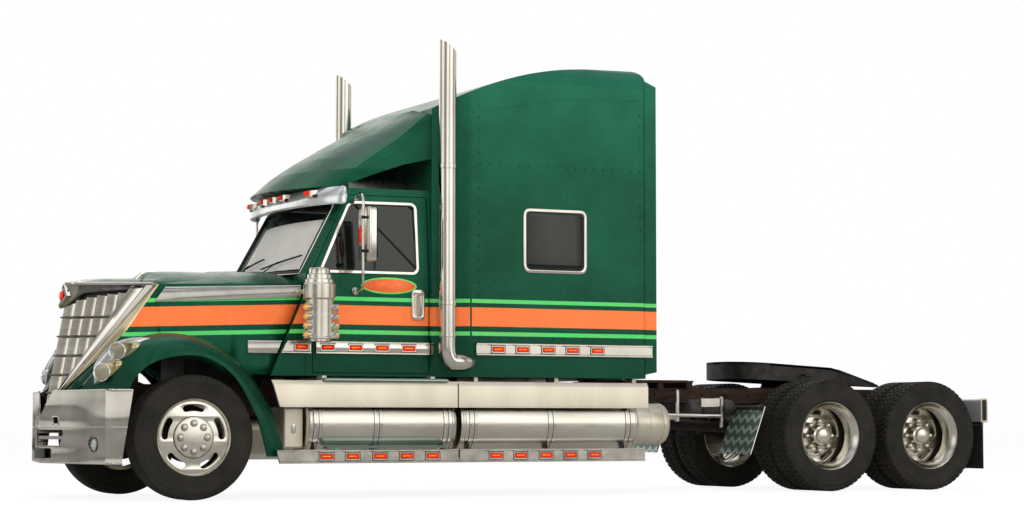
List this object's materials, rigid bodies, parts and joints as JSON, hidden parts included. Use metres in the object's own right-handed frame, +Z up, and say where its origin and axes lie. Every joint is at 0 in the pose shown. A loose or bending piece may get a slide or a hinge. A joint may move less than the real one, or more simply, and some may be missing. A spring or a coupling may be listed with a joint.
{
  "type": "semi truck tractor unit",
  "caption": "Conventional three-axle road tractor with walk-in sleeper, tilting hood, opening doors, steered front wheels and a tilting fifth wheel for hauling semi-trailers.",
  "frame": {"origin": "on the ground under the middle of the whole vehicle's box", "axes": "+X forward, +Y to the driver's left, +Z up"},
  "size_m": [9.17, 2.8558, 4.0198],
  "materials": {
    "green_paint": "gloss green paint",
    "chrome": "bright chrome",
    "polished_aluminium": "polished aluminium",
    "chassis_black": "dark chassis paint, worn",
    "fifth_wheel_black": "greased dark casting",
    "engine_grey": "dark casting",
    "tyre_rubber": "matt black rubber",
    "flap_rubber": "matt black rubber",
    "tread_plate": "dark chevron tread plate",
    "tinted_glass": "tinted glass",
    "interior_trim": "grey trim",
    "interior_dark": "black trim",
    "amber_lens": "red-orange lens"
  },
  "bodies": {
    "chassis": {"air_cleaners": "polished_aluminium", "air_tanks": "polished_aluminium", "bumper": "chrome", "cab_interior": "interior_trim", "cab_shell": "green_paint", "drive_axles": "chassis_black", "engine": "engine_grey", "exhaust": "chrome", "fifth_wheel_mount": "chassis_black", "fixed_glass": "tinted_glass", "frame": "chassis_black", "front_axle": "chassis_black", "fuel_tanks": "polished_aluminium", "light_bar": "chrome", "marker_lamps": "amber_lens", "mud_flaps": "flap_rubber", "quarter_fenders": "tread_plate", "roof_fairing": "green_paint", "side_rails": "chrome", "side_skirts": "polished_aluminium", "sleeper_shell": "green_paint", "sun_visor": "chrome"},
    "hood": {"hood_shell": "green_paint", "fenders": "green_paint", "headlights": "chrome", "hood_brightwork": "chrome", "grille": "chrome"},
    "door_left": {"door_left": "green_paint", "door_glass_left": "tinted_glass", "door_fittings_left": "chrome"},
    "door_right": {"door_right": "green_paint", "door_glass_right": "tinted_glass", "door_fittings_right": "chrome"},
    "knuckle_left": {"knuckle_left": "chassis_black"},
    "knuckle_right": {"knuckle_right": "chassis_black"},
    "tie_rod": {"tie_rod": "chassis_black"},
    "steering_wheel": {"steering_wheel": "interior_dark"},
    "fifth_wheel": {"fifth_wheel_plate": "fifth_wheel_black"},
    "wheel_front_left": {"tyre_front_left": "tyre_rubber", "rim_front_left": "polished_aluminium"},
    "wheel_drive_1_left": {"tyre_drive_1_left": "tyre_rubber", "rim_drive_1_left": "polished_aluminium"},
    "wheel_drive_2_left": {"tyre_drive_2_left": "tyre_rubber", "rim_drive_2_left": "polished_aluminium"},
    "wheel_front_right": {"tyre_front_right": "tyre_rubber", "rim_front_right": "polished_aluminium"},
    "wheel_drive_1_right": {"tyre_drive_1_right": "tyre_rubber", "rim_drive_1_right": "polished_aluminium"},
    "wheel_drive_2_right": {"tyre_drive_2_right": "tyre_rubber", "rim_drive_2_right": "polished_aluminium"}
  },
  "joints": [
    {"name": "hood_tilt", "type": "hinge", "parent": "chassis", "child": "hood", "pos_m": [4.435, 0, 0.905], "axis": [0, 1, 0], "range_deg": [0, 60]},
    {"name": "door_left_hinge", "type": "hinge", "parent": "chassis", "child": "door_left", "pos_m": [2.497, 1.045, 1.815], "axis": [0, 0, -1], "range_deg": [0, 60]},
    {"name": "door_right_hinge", "type": "hinge", "parent": "chassis", "child": "door_right", "pos_m": [2.497, -1.045, 1.815], "axis": [0, 0, 1], "range_deg": [0, 60]},
    {"name": "steer_left", "type": "hinge", "parent": "chassis", "child": "knuckle_left", "pos_m": [3.585, 0.79, 0.526], "axis": [0, 0, 1], "range_deg": [-38, 38]},
    {"name": "steer_right", "type": "hinge", "parent": "chassis", "child": "knuckle_right", "pos_m": [3.585, -0.79, 0.526], "axis": [0, 0, 1], "range_deg": [-38, 38]},
    {"name": "tie_rod_eye", "type": "hinge", "parent": "knuckle_left", "child": "tie_rod", "pos_m": [3.395, 0.79, 0.398], "axis": [0, 0, 1], "range_deg": [-38, 38]},
    {"name": "steering_wheel_turn", "type": "hinge", "parent": "chassis", "child": "steering_wheel", "pos_m": [2.115, 0.48, 1.759], "axis": [-0.7303, 0, 0.6831], "range_deg": [-620, 620]},
    {"name": "fifth_wheel_tilt", "type": "hinge", "parent": "chassis", "child": "fifth_wheel", "pos_m": [-3.015, 0, 1.1], "axis": [0, 1, 0], "range_deg": [0, 6]},
    {"name": "front_wheel_left", "type": "hinge", "parent": "knuckle_left", "child": "wheel_front_left", "pos_m": [3.585, 1.008, 0.526], "axis": [0, 1, 0], "continuous": true},
    {"name": "drive_wheel_1_left", "type": "hinge", "parent": "chassis", "child": "wheel_drive_1_left", "pos_m": [-2.738, 0.885, 0.526], "axis": [0, 1, 0], "continuous": true},
    {"name": "drive_wheel_2_left", "type": "hinge", "parent": "chassis", "child": "wheel_drive_2_left", "pos_m": [-3.895, 0.885, 0.526], "axis": [0, 1, 0], "continuous": true},
    {"name": "front_wheel_right", "type": "hinge", "parent": "knuckle_right", "child": "wheel_front_right", "pos_m": [3.585, -1.008, 0.526], "axis": [0, 1, 0], "continuous": true},
    {"name": "drive_wheel_1_right", "type": "hinge", "parent": "chassis", "child": "wheel_drive_1_right", "pos_m": [-2.738, -0.885, 0.526], "axis": [0, 1, 0], "continuous": true},
    {"name": "drive_wheel_2_right", "type": "hinge", "parent": "chassis", "child": "wheel_drive_2_right", "pos_m": [-3.895, -0.885, 0.526], "axis": [0, 1, 0], "continuous": true}
  ],
  "couplings": [
    {"joint": "steer_right", "follows": "steer_left", "ratio": 1},
    {"joint": "tie_rod_eye", "follows": "steer_left", "ratio": -1},
    {"joint": "steering_wheel_turn", "follows": "steer_left", "ratio": 16}
  ]
}
